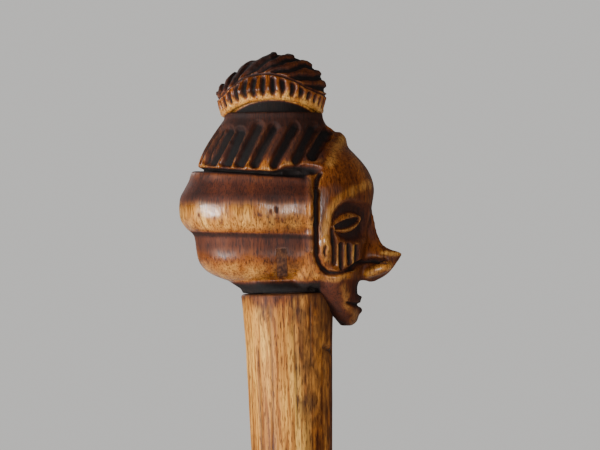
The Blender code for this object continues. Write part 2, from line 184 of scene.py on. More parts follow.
NOSE_BACK_SHARE = 0.3
PEAK = (0, 15.6, 56.8)
PEAK_SIZES = (6.0, 5.4, 2.6)
PEAK_TILT = -36
NOSTRIL_WING = (4.0, 32.4, 7.6)
NOSTRIL_WING_SIZES = (3.2, 5.6, 2.5)
NOSTRIL_WING_TILT = 17
LIP_FORWARD = 23.0
LIP_LEVELS = (-2.2, -7.0)
LIP_SIZES = (5.4, 3.8, 1.9)

# Knife lines on the flanks, as (forward, level)
LINE_REACH = 6
FACE_LINE = [
    (12.8, 42.4), (11.5, 39.0), (11.2, 33.2), (10.8, 22.4), (10.8, 14.0), (11.7, 10.3), (13.7, 7.6),
    (16.7, 6.9), (20.3, 7.4), (23.4, 8.5), (27.0, 10.4), (31.2, 11.0), (35.6, 10.6),
]
JAW_LINE = [(8.8, 0.8), (11.6, -3.6), (16.0, -10.2), (18.9, -12.6)]
TEAR_LINES = [
    [(16.6, 22.6), (16.8, 18.6), (17.2, 14.4), (16.9, 10.2)], [(19.7, 16.9), (19.5, 9.0)],
    [(22.7, 16.6), (22.6, 9.9)], [(25.5, 16.0), (25.2, 11.0)],
]
# The cut lines with their width, depth and blackness
KNIFE_LINES = [
    (FACE_LINE, 2.4, 1.6, 1.0),
    (JAW_LINE, 3.4, 1.0, 0.95),
    *((line, 2.1, 1.1, 1.0) for line in TEAR_LINES),
]
JAW_SHADE = 8.0
BEAD_LINE = [(9.0, 42.2), (9.1, 38.0), (9.0, 31.4), (8.9, 22.4), (9.0, 15.2)]
BEAD_WIDTH = 3.2
BEAD_HEIGHT = 0.55

# Ovals on the flanks, as (forward, level, half length, half height)
STEP_LENS = (5.4, 43.7, 9.6, 2.3)
STEP_LENS_DEPTH = 1.5
EAR = (14.0, 15.6, 2.1, 4.9)
EAR_HEIGHT = 0.9
EAR_CRACK = [(13.9, 16.6), (13.5, 14.6), (13.9, 12.6)]
EAR_CRACK_WIDTH = 0.9
EAR_CRACK_DEPTH = 0.5
EYE_HOLLOW = (24.0, 25.0, 8.0, 8.2)
EYE_HOLLOW_TILT = 20
EYE_HOLLOW_DEPTH = 2.2
BRIDGE_SHADE = (28.2, 29.0, 5.0, 4.2)
NOSE_RIDGE = (30.6, 28.4)
EYE = (22.6, 24.5)
EYE_TILT = 15
EYE_HALF_LENGTH = 6.2
EYE_FULLNESS = 0.8
LID_HALF_HEIGHT = 3.8
LID_HEIGHT = 2.0
SLIT_HALF_LENGTH = 5.2
SLIT_HALF_HEIGHT = 1.75
SLIT_DROP = 0.25
SLIT_DEPTH = 1.3
LIP_HOLLOW = (27.0, 0.9, 3.8, 2.9)
LIP_HOLLOW_SIDES = (10.5, 5.5)
LIP_HOLLOW_DEPTH = 1.2
MOUTH_SHADE = (25.2, 0.6, 3.8, 5.0)
MOUTH_LINE = [(21.6, -4.1), (23.6, -4.6), (27.5, -5.2)]
MOUTH_WIDTH = 1.9
MOUTH_DEPTH = 1.2

# Painted shade and dark patina in the coves and the crease, wear and painted highlights on the bulges:
# strength, then the levels where each starts, is full, wanes and ends
ROLL_SHADES = [
    (0.50, 29.6, 36.6, 39.5, 48.0),
    (0.47, 9.5, 18.0, 20.6, 21.6),
    (0.56, 29.8, 35.0, 36.0, 39.5),
]
ROLL_CREASE_SHADE = [(0.85, 19.6, 20.8, 21.5, 22.6)]
ROLL_WEAR_AND_HIGHLIGHT = [(0.85, 21.8, 25.0, 28.0, 35.5), (0.50, 4.0, 6.2, 8.5, 13.0)]
ROLL_BAND_SLOPE = 0.03
ROLL_CREASE_SLOPE = 0.055
ROLL_MIDDLE = -15

# Where hands have rubbed the face and the edges bright, and a painted highlight on the nostril wing: line,
# width and strength
RUBBED_AND_LIT_LINES = [
    (
        [(30.0, 38.0), (26.6, 36.6), (20.5, 33.8), (16.4, 28.8), (14.2, 22.9), (13.9, 16.3), (14.5, 12.1)],
        4.6,
        0.55,
    ),
    (BEAD_LINE, 2.4, 0.6),
    ([(4.7, 6.4), (10.7, 5.7), (16.6, 4.7), (22.1, 5.9)], 3.2, 0.5),
    ([(20.5, 1.7), (20.9, -4.3), (24.0, -8.4), (22.6, -11.2)], 4.6, 0.75),
    ([(34.5, 13.4), (40.6, 13.0)], 2.4, 0.8),
    # Painted highlight along the nostril wing.
    ([(28.9, 6.3), (36.4, 8.8)], 4.2, 1.0),
    ([(0.5, 46.2), (7.0, 46.7), (13.5, 47.2)], 1.8, 0.6),
    ([(16.6, 46.0), (19.2, 51.0), (21.4, 54.6)], 5.0, 0.32),
    *(([(forward, 16.4), (forward - 0.2, 9.6)], 1.3, 0.75) for forward in (18.3, 21.1, 24.1)),
]

# Stained streaks on the rolls and on the shaft, the last two on the shaft painted shadow under the jaw:
# forward, level and size
BLOT_STRENGTH = 0.74
ROLL_BLOTS = [
    (-30.2, 29.1, 1.5), (-23.2, 26.9, 2.0), (-8.6, 28.4, 1.2), (-3.6, 29.4, 2.8), (-0.3, 27.2, 2.6),
    (-1.7, 13.4, 2.8), (-1.3, 10.4, 2.0), (-2.2, 6.9, 2.4),
]
SHAFT_BLOTS_AND_JAW_SHADOW = [
    (-7.6, -4.2, 3.0), (-8.0, -7.8, 3.4), (3.5, -7.1, 4.0), (3.5, -25.0, 4.4), (4.7, -37.6, 3.6),
    (6.6, -40.4, 4.0), (12.2, -5.0, 5.0), (11.8, -10.5, 5.0),
]

# A nick and drying checks in the shaft
NICK_LINE = [(12.8, -19.5), (15.6, -21.5)]
NICK_WIDTH = 2.2
NICK_DEPTH = 0.9
CHECK_LINES = [
    [(-6.5, -4.0), (-6.2, -30.0), (-6.8, -58.0)], [(2.2, -12.0), (2.6, -48.0)], [(8.2, -3.0), (7.8, -26.0)],
    [(-11.2, -20.0), (-10.8, -60.0)],
]
CHECK_WIDTH = 0.8
CHECK_DEPTH = 0.3

# What stands out is rubbed and what lies back is black, as dark patina and painted shade: reach in rounds of
# spreading, heights in millimetres
RIDGE_REACH = 3
RIDGE_HEIGHTS = (0.03, 0.28)
RIDGE_RUB = 0.65
HOLLOW_REACH = 12
HOLLOW_SPREAD = 4
HOLLOW_DEPTHS = (0.06, 0.5)
HOLLOW_PATINA_AND_SHADE = 0.8
DARKENING_SPREAD = 1

# Lamps as name, place, watts and size, and the camera
LAMPS = [
    ("key", (-0.55, 1.0, SHOULDER - 0.02), 19, 0.24),
    ("fill", (-1.21, -0.18, SHOULDER + 0.03), 8.5, 0.16),
    ("far side", (0.9, 0.55, SHOULDER + 0.5), 4, 0.7),
]
LAMP_AIM = Vector((0, 0, SHOULDER + 0.03))
CAMERA_DISTANCE = 1.25
CAMERA_WIDTH = 0.216
CAMERA_ROLL = math.radians(1.64)
CAMERA_AIM = (0, 5.2, 24.3)
FLOOR_RADIUS = 1.4
WORLD_LIGHT = 0.14
WORLD_SEEN = 0.9


def smooth_curve(points, per_leg=8):
    """A rounded line through a few points."""
    pts = np.array(points, dtype=float)
    padded = np.vstack([2 * pts[0] - pts[1], pts, 2 * pts[-1] - pts[-2]])
    made = []
    for i in range(len(pts) - 1):
        a, b, c, d = padded[i : i + 4]
        square, cube = 2 * a - 5 * b + 4 * c - d, 3 * b - a - 3 * c + d
        for t in np.arange(per_leg) / per_leg:
            made.append(0.5 * (2 * b + (c - a) * t + square * t**2 + cube * t**3))
    return np.vstack([made, pts[-1]])


def outline(points):
    """A smooth function through given (level, value) points."""
    line = smooth_curve(sorted(points), 12)
    levels, values = line[:, 0], line[:, 1]
    return lambda level: float(np.interp(level, levels, values))


def oval(turn, half_width, half_depth, squareness=2.0):
    """(sideways, forward) on a rounded oval, with turn 0 at its front."""
    across, along = math.sin(turn), math.cos(turn)
    share = 2 / squareness
    return (
        half_width * math.copysign(abs(across) ** share, across),
        half_depth * math.copysign(abs(along) ** share, along),
    )


def carved(sideways, forward, level):
    """Carving millimetres as a point of the doll."""
    return Vector((sideways * MM, -forward * MM, SHOULDER + level * MM))


def spun(points, columns):
    """A bmesh of a line of points turned once round the upright axis."""
    bm = bmesh.new()
    line = [bm.verts.new(point) for point in points]
    edges = [bm.edges.new(pair) for pair in zip(line, line[1:])]
    bmesh.ops.spin(
        bm, geom=line + edges, cent=(0, 0, 0), axis=(0, 0, 1), angle=math.tau, steps=columns, use_merge=True
    )
    return bm


def placed(name, bm):
    """A new object in the scene from a bmesh, which is used up."""
    mesh = bpy.data.meshes.new(name)
    bm.to_mesh(mesh)
    bm.free()
    obj = bpy.data.objects.new(name, mesh)
    bpy.context.collection.objects.link(obj)
    return obj


def add_blank(bm, place, rings, columns=BLANK_COLUMNS):
    """Turns a blank of many rings into bm, then shapes it: place(share of height, turn) gives a point."""
    made = spun([(0, -1, ring) for ring in range(rings)], columns)
    caps = bmesh.ops.holes_fill(made, edges=[e for e in made.edges if e.is_boundary], sides=0)["faces"]
    for vert in made.verts:
        vert.co = place(vert.co.z / (rings - 1), math.atan2(vert.co.x, -vert.co.y))
    bmesh.ops.poke(made, faces=caps)
    bmesh.ops.recalc_face_normals(made, faces=made.faces)
    passing = bpy.data.meshes.new("passing")
    made.to_mesh(passing)
    made.free()
    bm.from_mesh(passing)
    bpy.data.meshes.remove(passing)


def add_ball(bm, centre, half_sizes, tilt=0):
    """A stretched ball at a carving place, its front end tilted up by some degrees."""
    lift = Matrix.Rotation(-math.radians(tilt), 4, "X")
    stretch = Matrix.Diagonal((*(s * MM for s in half_sizes), 1))
    matrix = Matrix.Translation(carved(*centre)) @ lift @ stretch
    bmesh.ops.create_uvsphere(bm, u_segments=32, v_segments=20, radius=1, matrix=matrix)


def add_hair_rolls(bm):
    """The two rolls round the back of the head, their underside and the collar over the shaft."""
    inset = outline(ROLL_TEMPLATE)
    top, rim = ROLL_TEMPLATE[0][0], ROLL_TEMPLATE[-1][0]
    back = ROLL_HALF_DEPTH - ROLL_FORWARD
    flank_share, under_share, collar_share = 0.8, 0.94, 0.97

    def roll(level, turn):
        side = ROLL_HALF_WIDTH - ROLL_SIDE_SHARE * inset(level)
        x, y = oval(turn, side, ROLL_HALF_DEPTH - inset(level), ROLL_SQUARENESS)
        return x, y + ROLL_FORWARD

    def place(share, turn):
        if share <= flank_share:
            level = top + (rim - top) * share / flank_share
            x, y = roll(level, turn)
        elif share <= under_share:
            under = (share - flank_share) / (under_share - flank_share)
            level = rim + (UNDERSIDE_LEVEL - rim) * under
            flank, lip = roll(rim, turn), oval(turn, UNDERSIDE_RADIUS, UNDERSIDE_RADIUS)
            x, y = (a + (b - a) * under for a, b in zip(flank, lip))
        else:
            level = COLLAR_LEVEL if share <= collar_share else SEAT_GAP / MM
            x, y = oval(turn, COLLAR_RADIUS, COLLAR_RADIUS)
        lean = CROWN_SLOPE * min(max((level - ROLL_BULGE) / (top - ROLL_BULGE), 0), 1)
        y = min(y, ROLL_FRONT)
        return carved(x, y, level - lean * (y + back))

    add_blank(bm, place, rings=80)


def add_crown_tier(bm):
    """The flaring tier on the crown, undercut at its foot."""
    back = TIER_BASE[1] - TIER_BASE[2]

    def place(share, turn):
        share = TIER_ROOT + TIER_REACH * share
        rise = min(max(share, 0), 1)
        sizes = (a + (b - a) * rise**TIER_BELLY for a, b in zip(TIER_BASE, TIER_TOP))
        half_width, half_depth, centre = sizes
        tuck = TIER_UNDERCUT * min(max(-share / TIER_UNDERCUT_SHARE, 0), 1)
        x, y = oval(turn, half_width - tuck, half_depth - tuck)
        y += centre
        slope = CROWN_SLOPE * (1 - TIER_TOP_LEVELLING * rise)
        return carved(x, y, TIER_BASE_LEVEL + TIER_HEIGHT * share - slope * (y + back))

    add_blank(bm, place, rings=60)


def add_topknot(bm):
    """The topknot from its neck over the arched, rounded rim and the band to the dome."""
    neck_share, rim_share, band_share = 0.12, 0.24, 0.44

    def place(share, turn):
        rim = KNOT_RIM_LEVEL + KNOT_RIM_ARCH * abs(math.sin(turn)) ** KNOT_RIM_CURVE
        slope = 1 + (KNOT_BACK_SLOPE - 1) * max(-math.cos(turn), 0) ** KNOT_BACK_BLEND
        inset, shrink = 0.0, 1.0
        if share <= neck_share:
            inset = KNOT_NECK_INSET
            level = KNOT_ROOT_LEVEL + (rim + KNOT_LIP_RADIUS - KNOT_ROOT_LEVEL) * share / neck_share
        elif share <= rim_share:
            bend = (share - neck_share) / (rim_share - neck_share) * math.pi - math.pi / 2
            inset = KNOT_RIM_INSET - KNOT_LIP_RADIUS * math.sin(bend)
            level = rim + KNOT_LIP_RADIUS * (1 - math.cos(bend))
        elif share <= band_share:
            up = (share - rim_share) / (band_share - rim_share)
            inset = (KNOT_RIM_INSET - KNOT_LIP_RADIUS) * (1 - up) ** 2
            level = rim + KNOT_LIP_RADIUS + (KNOT_SHOULDER - rim - KNOT_LIP_RADIUS) * up
        else:
            angle = (share - band_share) / (1 - band_share) * math.pi / 2
            shrink = max(math.cos(angle), KNOT_TIP_SHARE) ** slope
            level = KNOT_SHOULDER + (KNOT_TOP_LEVEL - KNOT_SHOULDER) * math.sin(angle) ** slope
        x, y = oval(turn, (KNOT_HALF_WIDTH - inset) * shrink, (KNOT_HALF_DEPTH - inset) * shrink)
        return carved(x, y + KNOT_FORWARD, level)

    add_blank(bm, place, rings=90)


def add_face(bm):
    """The narrow face with the pointed hairline over its brow."""
    front, half_width = outline(FACE_FRONT), outline(FACE_HALF_WIDTH)
    top, low = FACE_FRONT[0][0], FACE_FRONT[-1][0]

    def place(share, turn):
        level = top + (low - top) * share
        half_depth = front(level) - FACE_FORWARD if math.cos(turn) > 0 else FACE_DEPTH_BEHIND
        x, y = oval(turn, half_width(level), half_depth)
        return carved(x, y + FACE_FORWARD, level)

    add_blank(bm, place, rings=70, columns=140)
    add_ball(bm, PEAK, PEAK_SIZES, PEAK_TILT)


def add_jaw(bm):
    """The small jaw that overhangs the front of the shaft."""
    front, half_width, back = outline(JAW_FRONT), outline(JAW_HALF_WIDTH), outline(JAW_BACK)
    top, low = JAW_FRONT[0][0], JAW_FRONT[-1][0]

    def place(share, turn):
        level = top + (low - top) * share
        middle = (front(level) + back(level)) / 2
        x, y = oval(turn, half_width(level), front(level) - middle)
        return carved(x, y + middle, level)

    add_blank(bm, place, rings=30, columns=80)


def add_nose(bm):
    """The upturned nose, thinner towards its ridge, with its two wings."""
    tip, half_width = outline(NOSE_TIP), outline(NOSE_HALF_WIDTH)
    top, low = NOSE_TIP[0][0], NOSE_TIP[-1][0]

    def place(share, turn):
        level = top + (low - top) * share
        x, along = oval(turn, half_width(level), 1)
        reach = tip(level) - NOSE_ROOT
        slender = min(reach / half_width(level) / NOSE_SLENDERNESS, 1)
        taper = 1 - NOSE_TAPER * max(along, 0) ** NOSE_TAPER_CURVE * slender
        return carved(x * taper, NOSE_ROOT + reach * (along if along > 0 else along * NOSE_BACK_SHARE), level)

    add_blank(bm, place, rings=50, columns=80)
    sideways, forward, level = NOSTRIL_WING
    for side in (-1, 1):
        add_ball(bm, (side * sideways, forward, level), NOSTRIL_WING_SIZES, NOSTRIL_WING_TILT)


def add_mouth(bm):
    """Two lips."""
    for level in LIP_LEVELS:
        add_ball(bm, (0, LIP_FORWARD, level), LIP_SIZES)


def fused(name, builders, voxel, easing):
    """One closed skin over overlapping forms, eased so that their seams flow together."""
    bm = bmesh.new()
    for build in builders:
        build(bm)
    obj = placed(name, bm)
    remesh = obj.modifiers.new("skin", "REMESH")
    remesh.mode = "VOXEL"
    remesh.voxel_size = voxel
    ease = obj.modifiers.new("ease", "SMOOTH")
    ease.factor = 0.5
    ease.iterations = easing
    obj.data = settled(obj)
    obj.modifiers.clear()
    return obj


def settled(obj):
    """The object's mesh with its modifiers applied."""
    graph = bpy.context.evaluated_depsgraph_get()
    return bpy.data.meshes.new_from_object(obj.evaluated_get(graph))


def points_of(mesh):
    co = np.empty(len(mesh.vertices) * 3, dtype=np.float64)
    mesh.vertices.foreach_get("co", co)
    return co.reshape(-1, 3)


def normals_of(mesh):
    normals = np.empty(len(mesh.vertices) * 3, dtype=np.float64)
    mesh.vertex_normals.foreach_get("vector", normals)
    return normals.reshape(-1, 3)


def carve(mesh, co, normals, depth):
    """Moves every vertex inwards by a depth in millimetres."""
    moved = co - normals * (depth * MM)[:, None]
    mesh.vertices.foreach_set("co", moved.astype(np.float32).ravel())
    mesh.update()


def put_layer(mesh, name, values):
    layer = mesh.attributes.new(name, "FLOAT", "POINT")
    layer.data.foreach_set("value", np.clip(values, 0, 1).astype(np.float32))


def measures(co):
    """Sideways, forward and level of points, in carving millimetres."""
    return co[:, 0] / MM, -co[:, 1] / MM, (co[:, 2] - SHOULDER) / MM


def strongest(*layers):
    """The largest of several values, vertex by vertex."""
    return np.maximum.reduce(layers)


def step(low, high, values):
    """0 at low and 1 at high, eased; low may be the larger."""
    t = np.clip((values - low) / (high - low), 0, 1)
    return t * t * (3 - 2 * t)


def band(values, *edges):
    """1 between the middle two edges, easing to 0 at the outer two."""
    return step(edges[0], edges[1], values) * (1 - step(edges[2], edges[3], values))


def bands(values, rows):
    """The strongest of several bands, each given as its strength and four edges."""
    return strongest(*(strength * band(values, *edges) for strength, *edges in rows))


def within(f, h, middle_f, middle_h, half_length, half_height):
    """0 at the middle of an oval on the flank, 1 on its rim and more outside."""
    return np.hypot((f - middle_f) / half_length, (h - middle_h) / half_height)


def tilted(f, h, degrees):
    """Flank measures turned so that the first runs along a rising line."""
    a = math.radians(degrees)
    return f * math.cos(a) + h * math.sin(a), h * math.cos(a) - f * math.sin(a)


def line_distance(forward, level, points):
    """Distance on the flank from every vertex to a rounded knife line, huge beyond its reach."""
    line = smooth_curve(points)
    best = np.full(forward.shape, 1e9)
    near = (forward > line[:, 0].min() - LINE_REACH) & (forward < line[:, 0].max() + LINE_REACH)
    near &= (level > line[:, 1].min() - LINE_REACH) & (level < line[:, 1].max() + LINE_REACH)
    f, h = forward[near], level[near]
    found = np.full(f.shape, 1e9)
    for a, b in zip(line, line[1:]):
        leg = b - a
        t = np.clip(((f - a[0]) * leg[0] + (h - a[1]) * leg[1]) / (leg @ leg), 0, 1)
        found = np.minimum(found, np.hypot(f - a[0] - t * leg[0], h - a[1] - t * leg[1]))
    best[near] = found
    return best


def gouge(distance, width, flat=0.1):
    """1 in the middle of a knife line and 0 at its edge; its floor is flat for a share of the width."""
    return 1 - step(flat * width, 0.55 * width, distance)


def neighbours_mean(mesh, values, rounds):
    """Values, one per vertex and per column, spread to the neighbouring vertices a number of times."""
    edges = np.empty(len(mesh.edges) * 2, dtype=np.int64)
    mesh.edges.foreach_get("vertices", edges)
    a, b = edges.reshape(-1, 2).T
    size = len(mesh.vertices)
    count = np.bincount(a, minlength=size) + np.bincount(b, minlength=size)
    columns = list(np.atleast_2d(values.T))
    for _ in range(rounds):
        for i, column in enumerate(columns):
            total = np.bincount(a, column[b], size) + np.bincount(b, column[a], size)
            columns[i] = 0.5 * column + 0.5 * total / count
    return np.stack(columns, axis=1) if values.ndim > 1 else columns[0]


def waver(co, size, seed):
    """Soft noise between -1 and 1 that changes over a size in millimetres, the same at every run."""
    shift = Vector((seed * 7.3, seed * 3.1, seed * 5.7))
    scale = 1 / (size * MM)
    return np.array([noise.noise(Vector(point) * scale + shift) for point in co])


def drawn_out(co, share):
    """Points squeezed upright to a share, so that noise over them is drawn out along the grain."""
    return co * np.array([1, 1, share])


def bulge_of(mesh, rounds):
    """How far each vertex stands out of its surroundings, in millimetres: ridges above 0, hollows below."""
    co = points_of(mesh)
    return np.einsum("ij,ij->i", co - neighbours_mean(mesh, co, rounds), normals_of(mesh)) / MM


def blots(places, f, h, streaks):
    """Dark patches along some streaks of the grain: stains where dye and sap have soaked in, and on the shaft
    two of painted shadow under the jaw.
    """
    made = np.zeros_like(f)
    for forward, level, size in places:
        away = np.hypot(f - forward, h - level) / size
        made = np.maximum(made, step(1.1, 0.4, away))
    return BLOT_STRENGTH * made * step(-0.05, 0.3, streaks)


def tier_gouges(x, f, h, rise, shake, normals):
    """Slanting cuts round the tier: traced ones on the flanks, and ones that follow the cone at the back."""
    part = np.clip(rise / TIER_HEIGHT, 0, 1)
    half_width = TIER_BASE[0] + (TIER_TOP[0] - TIER_BASE[0]) * part
    slid = (f - TIER_LEAN * rise - TIER_BASE[2]) / TIER_BASE[1]
    turn = np.arctan2(np.abs(x) / half_width, slid)
    low, high = TIER_CUT_LEVELS
    made = np.zeros_like(f)
    for degrees in TIER_BACK_CUT_TURNS:
        across = np.abs(turn - math.radians(degrees)) * (half_width + TIER_BACK_ROUNDING)
        along = strongest(low - rise, rise - high, np.zeros_like(rise))
        made = np.maximum(made, gouge(np.hypot(across, along) + shake, TIER_CUT_WIDTH, TIER_CUT_FLAT))
    side = step(0.05, 0.2, np.abs(normals[:, 0]))
    for points in TIER_CUTS:
        line = gouge(line_distance(f, h, points) + shake, TIER_CUT_WIDTH, TIER_CUT_FLAT)
        made = np.maximum(made, line * side)
    return made


def face_lines(f, h, shake):
    """The knife lines of the flank and the step over the temple: depth and blackening, the step's blackening
    being painted shade under the tier's lip.
    """
    # The step under the tier's lip is blackened as painted shade.
    lens = 1 - step(0.55, 1.05, within(f, h, *STEP_LENS))
    depths, soot_and_shade = STEP_LENS_DEPTH * lens, lens
    for points, width, depth, dark in KNIFE_LINES:
        line = gouge(line_distance(f, h, points) + shake, width)
        depths = np.maximum(depths, depth * line)
        soot_and_shade = np.maximum(soot_and_shade, dark * line)
    return depths, soot_and_shade


def eye(f, h):
    """An almond with thin lids and a wide slit, in a hollow under the brow; the hollow and the side of the
    nose bridge are darkened as painted shade.

    Gives the depth of the cut, the blackening, and where the lids are.
    """
    hollow_f, hollow_h, *hollow_sizes = EYE_HOLLOW
    u, v = tilted(f - hollow_f, h - hollow_h, EYE_HOLLOW_TILT)
    hollow = 1 - step(0.7, 1.04, within(u, v, 0, 0, *hollow_sizes))
    bridge = 1 - step(0.4, 1.05, within(f, h, *BRIDGE_SHADE))

    u, v = tilted(f - EYE[0], h - EYE[1], EYE_TILT)
    lens = np.clip(1 - (u / EYE_HALF_LENGTH) ** 2, 0, 1) ** EYE_FULLNESS
    lids = np.sqrt(np.clip(1 - (v / (LID_HALF_HEIGHT * lens + 1e-6)) ** 2, 0, 1)) * (lens > 0)
    slit = 1 - step(0.72, 1.08, np.abs(v + SLIT_DROP) / (SLIT_HALF_HEIGHT * lens + 1e-6))
    slit = slit * (np.abs(u) < SLIT_HALF_LENGTH)
    cut = EYE_HOLLOW_DEPTH * hollow - LID_HEIGHT * lids * lens**0.5 + SLIT_DEPTH * slit

    on_lids = step(0.25, 0.6, lids)
    # The hollow and the side of the nose bridge are darkened as painted shade.
    soot_and_shade = strongest(np.maximum(0.82 * hollow, 0.66 * bridge) * (1 - on_lids), 0.96 * slit)
    return cut, soot_and_shade, on_lids * (1 - slit) * (1 - 0.45 * step(-0.5, 1.5, v))


def roll_shade_and_wear(co, f, h, hand, fine):
    """Painted shade in the coves, the crease and towards the face, with dark patina and stains, and wear with
    painted highlights on the bulges of the two hair rolls.
    """
    hair = step(10.5, 9.0, f) * (h < 45)
    drift = h + 0.6 * hand + ROLL_BAND_SLOPE * (f - ROLL_MIDDLE)
    # Painted shade along the crease between the rolls.
    crease_shade = bands(h + ROLL_CREASE_SLOPE * (f - ROLL_MIDDLE), ROLL_CREASE_SHADE)
    # Painted shade: the rolls darker towards the face.
    face_side_shade = (0.17 + 0.2 * fine) * step(-13, -4, f)
    stains = blots(ROLL_BLOTS, f, h, waver(drawn_out(co, 0.3), size=1.0, seed=13))
    # Painted shade and dark patina in the coves, with stains.
    soot_and_shade = strongest(bands(drift, ROLL_SHADES), crease_shade, face_side_shade, stains) * hair
    # Wear and painted highlights on the bulges, dimmer towards the face.
    wear_and_highlight = bands(drift, ROLL_WEAR_AND_HIGHLIGHT) * hair * (1 - 0.4 * step(-14, -4, f))
    return soot_and_shade, wear_and_highlight


def carve_head(obj):
    """The knife work on rolls, tier and face. Gives how black and how rubbed each vertex is, painted shade
    and painted highlights among them.
    """
    mesh = obj.data
    co, normals = points_of(mesh), normals_of(mesh)
    x, f, h = measures(co)
    flank = step(0.12, 0.4, np.abs(normals[:, 0]))
    hand = waver(co, size=7, seed=1)
    fine = waver(co, size=2.5, seed=2)
    shake = 0.3 * fine

    rise = h - TIER_BASE_LEVEL + CROWN_SLOPE * (f + TIER_BASE[1] - TIER_BASE[2])
    on_tier = band(rise, -0.4, 0.4, TIER_HEIGHT + 1, TIER_HEIGHT + 2) * (h > 44)
    tier_cuts = tier_gouges(x, f, h, rise, shake, normals) * on_tier
    lines, cut_soot_and_shade = face_lines(f, h, shake)
    bead = gouge(line_distance(f, h, BEAD_LINE), BEAD_WIDTH) * flank
    eye_cut, eye_soot_and_shade, lids = eye(f, h)
    lids = lids * flank
    ear = np.sqrt(np.clip(1 - within(f, h, *EAR) ** 2, 0, 1)) * flank
    crack = gouge(line_distance(f, h, EAR_CRACK) + shake, EAR_CRACK_WIDTH) * flank
    lip_hollow = (1 - step(0.6, 1.1, within(f, h, *LIP_HOLLOW))) * step(*LIP_HOLLOW_SIDES, np.abs(x))
    mouth = gouge(line_distance(f, h, MOUTH_LINE) + 0.5 * shake, MOUTH_WIDTH)
    cut = (
        0.22 * hand
        + 0.05 * waver(co, size=1.6, seed=3)
        + TIER_CUT_DEPTH * tier_cuts
        + lines * flank
        - BEAD_HEIGHT * bead
        + eye_cut * flank * step(*NOSE_RIDGE, f)
        - EAR_HEIGHT * ear
        + EAR_CRACK_DEPTH * crack
        + LIP_HOLLOW_DEPTH * lip_hollow
        + MOUTH_DEPTH * mouth
    )

    rubbed_and_lit = np.zeros_like(f)
    for points, width, strength in RUBBED_AND_LIT_LINES:
        rubbed_and_lit = np.maximum(rubbed_and_lit, strength * gouge(line_distance(f, h, points) + 1.5 * shake, width))

    roll_shade_and_stains, wear_and_highlight = roll_shade_and_wear(co, f, h, hand, fine)
    tier_shade = 0.72 * on_tier * step(1.0, 7.0, rise + hand) * step(17, 13, f)
    dusk = 0.31 + 0.2 * hand - 0.3 * rubbed_and_lit - 0.22 * step(36, 42, h) + 0.3 * step(6, 2, h)
    dusk = np.clip(dusk, 0, 1) * step(11.0, 12.5, f) * (h < 60)
    # Painted shade under the rolls, above the shaft.
    under = step(5.2, 3.2, h + 0.4 * hand) * (f < 12) * (h > -1)
    # Painted shade under the tier's undercut foot.
    tier_foot_shade = band(rise, -2.6, -1.6, -0.4, 0.2) * step(9, 7, f) * (h > 40)
    # Painted shade on the tier's top, under the topknot's rim.
    shelf_shade = 0.8 * step(11.5, 16.0, rise + 1.5 * hand) * (h > 50) * step(15.5, 13.5, f)
    soot_and_shade = strongest(tier_cuts, tier_shade, cut_soot_and_shade * flank, dusk, roll_shade_and_stains, under, tier_foot_shade, shelf_shade)

    # Painted shadow along the jaw's back edge, where it overhangs the shaft.
    jaw_shadow = 0.85 * gouge(line_distance(f, h, JAW_LINE) + shake, JAW_SHADE) * (h < 2)
    mouth_shade = 0.55 * (1 - step(0.5, 1.1, within(f, h, *MOUTH_SHADE) + 0.3 * hand))
    # The hollow under the nose is darkened as painted shade.
    soot_and_shade = strongest(
        soot_and_shade * (1 - 0.75 * lids), eye_soot_and_shade * flank, 0.78 * lip_hollow, mouth, crack, jaw_shadow, mouth_shade
    )

    # The tier's lip brightened: wear and a painted highlight.
    tier_lip_wear_and_highlight = band(rise, -0.6, 0.2, 0.9, 1.8) * step(3, -1, f) * np.clip(0.55 + 0.7 * hand, 0, 1)
    # Brightening: wear, plus painted highlights on the bulges, the tier's lip and the nostril wing.
    rub_and_highlight = strongest(wear_and_highlight, 0.85 * ear, tier_lip_wear_and_highlight, 0.35 * lids, rubbed_and_lit)
    carve(mesh, co, normals, cut)
    return soot_and_shade, rub_and_highlight


